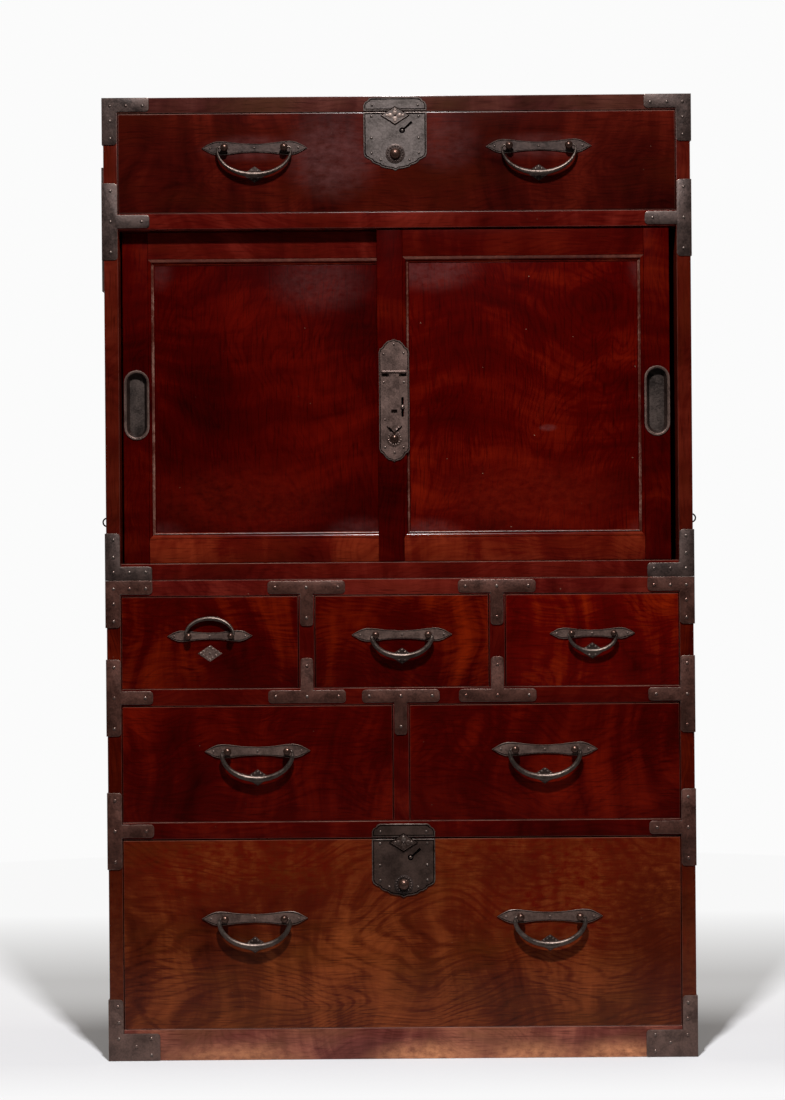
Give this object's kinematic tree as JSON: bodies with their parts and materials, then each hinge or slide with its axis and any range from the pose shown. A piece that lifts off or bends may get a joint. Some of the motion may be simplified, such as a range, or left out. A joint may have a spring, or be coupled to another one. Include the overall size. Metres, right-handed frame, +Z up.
{
  "type": "clothing chest",
  "caption": "Stacked clothing chest of red-brown lacquered wood with drawers, sliding panel doors, iron lock plates, corner irons and swinging bail handles.",
  "frame": {"origin": "on the floor under the middle of the chest's overall box", "axes": "+Z up, +X to the right as seen from the front, the front faces -Y"},
  "size_m": [0.9312, 0.4567, 1.4913],
  "materials": {
    "red_lacquered_wood": "dark red transparent lacquer over hardwood, satin gloss",
    "figured_lacquered_wood": "orange-brown transparent lacquer over boldly figured hardwood, satin gloss",
    "plain_back_wood": "plain softwood boards, unfinished",
    "dark_iron": "hand-forged iron with a dark brown-grey patina"
  },
  "bodies": {
    "lower_case": {"lower_left_side": "red_lacquered_wood", "lower_right_side": "red_lacquered_wood", "lower_top": "red_lacquered_wood", "lower_bottom": "red_lacquered_wood", "lower_back": "plain_back_wood", "shelf_one": "red_lacquered_wood", "shelf_two": "red_lacquered_wood", "divider_left": "red_lacquered_wood", "divider_right": "red_lacquered_wood", "divider_middle": "red_lacquered_wood", "corner_iron_lower_top_left": "dark_iron", "corner_iron_lower_top_right": "dark_iron", "corner_iron_base_left": "dark_iron", "corner_iron_base_right": "dark_iron"},
    "upper_case": {"upper_left_side": "red_lacquered_wood", "upper_right_side": "red_lacquered_wood", "upper_top": "red_lacquered_wood", "upper_bottom": "red_lacquered_wood", "upper_back": "plain_back_wood", "door_rail": "red_lacquered_wood", "corner_iron_upper_top_left": "dark_iron", "corner_iron_upper_top_right": "dark_iron", "corner_iron_upper_bottom_left": "dark_iron", "corner_iron_upper_bottom_right": "dark_iron"},
    "drawer_top": {"drawer_top": "red_lacquered_wood", "handle_plate_top_left": "dark_iron", "handle_plate_top_right": "dark_iron", "top_lock_plate": "dark_iron"},
    "drawer_small_left": {"drawer_small_left": "red_lacquered_wood", "handle_plate_small_left": "dark_iron"},
    "drawer_small_middle": {"drawer_small_middle": "red_lacquered_wood", "handle_plate_small_middle": "dark_iron"},
    "drawer_small_right": {"drawer_small_right": "red_lacquered_wood", "handle_plate_small_right": "dark_iron"},
    "drawer_row_two_left": {"drawer_row_two_left": "red_lacquered_wood", "handle_plate_row_two_left": "dark_iron"},
    "drawer_row_two_right": {"drawer_row_two_right": "red_lacquered_wood", "handle_plate_row_two_right": "dark_iron"},
    "drawer_large": {"drawer_large": "figured_lacquered_wood", "handle_plate_large_left": "dark_iron", "handle_plate_large_right": "dark_iron", "large_lock_plate": "dark_iron"},
    "bail_top_left": {"bail_top_left": "dark_iron"},
    "bail_top_right": {"bail_top_right": "dark_iron"},
    "bail_small_left": {"bail_small_left": "dark_iron"},
    "bail_small_middle": {"bail_small_middle": "dark_iron"},
    "bail_small_right": {"bail_small_right": "dark_iron"},
    "bail_row_two_left": {"bail_row_two_left": "dark_iron"},
    "bail_row_two_right": {"bail_row_two_right": "dark_iron"},
    "bail_large_left": {"bail_large_left": "dark_iron"},
    "bail_large_right": {"bail_large_right": "dark_iron"},
    "top_lock_button": {"top_lock_button": "dark_iron"},
    "large_lock_button": {"large_lock_button": "dark_iron"},
    "door_left": {"door_left": "red_lacquered_wood", "door_pull_left": "dark_iron"},
    "door_right": {"door_right": "red_lacquered_wood", "door_pull_right": "dark_iron", "door_lock_plate": "dark_iron"},
    "door_lock_hasp": {"door_lock_hasp": "dark_iron"},
    "door_lock_slider": {"door_lock_slider": "dark_iron"}
  },
  "joints": [
    {"name": "upper_lift", "type": "slide", "parent": "lower_case", "child": "upper_case", "axis": [0, 0, 1], "range_m": [0, 0.05]},
    {"name": "drawer_top_slide", "type": "slide", "parent": "upper_case", "child": "drawer_top", "axis": [0, -1, 0], "range_m": [0, 0.3]},
    {"name": "drawer_small_left_slide", "type": "slide", "parent": "lower_case", "child": "drawer_small_left", "axis": [0, -1, 0], "range_m": [0, 0.3]},
    {"name": "drawer_small_middle_slide", "type": "slide", "parent": "lower_case", "child": "drawer_small_middle", "axis": [0, -1, 0], "range_m": [0, 0.3]},
    {"name": "drawer_small_right_slide", "type": "slide", "parent": "lower_case", "child": "drawer_small_right", "axis": [0, -1, 0], "range_m": [0, 0.3]},
    {"name": "drawer_row_two_left_slide", "type": "slide", "parent": "lower_case", "child": "drawer_row_two_left", "axis": [0, -1, 0], "range_m": [0, 0.3]},
    {"name": "drawer_row_two_right_slide", "type": "slide", "parent": "lower_case", "child": "drawer_row_two_right", "axis": [0, -1, 0], "range_m": [0, 0.3]},
    {"name": "drawer_large_slide", "type": "slide", "parent": "lower_case", "child": "drawer_large", "axis": [0, -1, 0], "range_m": [0, 0.3]},
    {"name": "bail_top_left_swing", "type": "hinge", "parent": "drawer_top", "child": "bail_top_left", "pos_m": [-0.22001, -0.22195, 1.41205], "axis": [-1, 0, 0], "range_deg": [-6.2, 188]},
    {"name": "bail_top_right_swing", "type": "hinge", "parent": "drawer_top", "child": "bail_top_right", "pos_m": [0.22001, -0.22195, 1.41205], "axis": [-1, 0, 0], "range_deg": [-6.2, 188]},
    {"name": "bail_small_left_swing", "type": "hinge", "parent": "drawer_small_left", "child": "bail_small_left", "pos_m": [-0.29488, -0.22085, 0.657], "axis": [-1, 0, 0], "range_deg": [-202.1, 0]},
    {"name": "bail_small_middle_swing", "type": "hinge", "parent": "drawer_small_middle", "child": "bail_small_middle", "pos_m": [0.00249, -0.22155, 0.657], "axis": [-1, 0, 0], "range_deg": [-7.1, 189.3]},
    {"name": "bail_small_right_swing", "type": "hinge", "parent": "drawer_small_right", "child": "bail_small_right", "pos_m": [0.29737, -0.22085, 0.657], "axis": [-1, 0, 0], "range_deg": [-9.6, 192.4]},
    {"name": "bail_row_two_left_swing", "type": "hinge", "parent": "drawer_row_two_left", "child": "bail_row_two_left", "pos_m": [-0.22237, -0.22195, 0.47825], "axis": [-1, 0, 0], "range_deg": [-6.2, 188]},
    {"name": "bail_row_two_right_swing", "type": "hinge", "parent": "drawer_row_two_right", "child": "bail_row_two_right", "pos_m": [0.22237, -0.22195, 0.47825], "axis": [-1, 0, 0], "range_deg": [-6.2, 188]},
    {"name": "bail_large_left_swing", "type": "hinge", "parent": "drawer_large", "child": "bail_large_left", "pos_m": [-0.22849, -0.22195, 0.21925], "axis": [-1, 0, 0], "range_deg": [-6.2, 188]},
    {"name": "bail_large_right_swing", "type": "hinge", "parent": "drawer_large", "child": "bail_large_right", "pos_m": [0.22849, -0.22195, 0.21925], "axis": [-1, 0, 0], "range_deg": [-6.2, 188]},
    {"name": "top_lock_button_push", "type": "slide", "parent": "drawer_top", "child": "top_lock_button", "axis": [0, 1, 0], "range_m": [0, 0.003], "stiffness_N_per_m": 250, "springref_m": -0.003},
    {"name": "large_lock_button_push", "type": "slide", "parent": "drawer_large", "child": "large_lock_button", "axis": [0, 1, 0], "range_m": [0, 0.003], "stiffness_N_per_m": 250, "springref_m": -0.003},
    {"name": "door_left_slide", "type": "slide", "parent": "upper_case", "child": "door_left", "axis": [1, 0, 0], "range_m": [-0.0035, 0.4075]},
    {"name": "door_right_slide", "type": "slide", "parent": "upper_case", "child": "door_right", "axis": [1, 0, 0], "range_m": [-0.4, 0.011]},
    {"name": "door_lock_hasp_swing", "type": "hinge", "parent": "door_right", "child": "door_lock_hasp", "pos_m": [-0.0066, -0.21235, 1.064], "axis": [-1, 0, 0], "range_deg": [0, 150]},
    {"name": "door_lock_slider_slide", "type": "slide", "parent": "door_right", "child": "door_lock_slider", "axis": [0, 0, 1], "range_m": [-0.0132, 0.0132]}
  ]
}
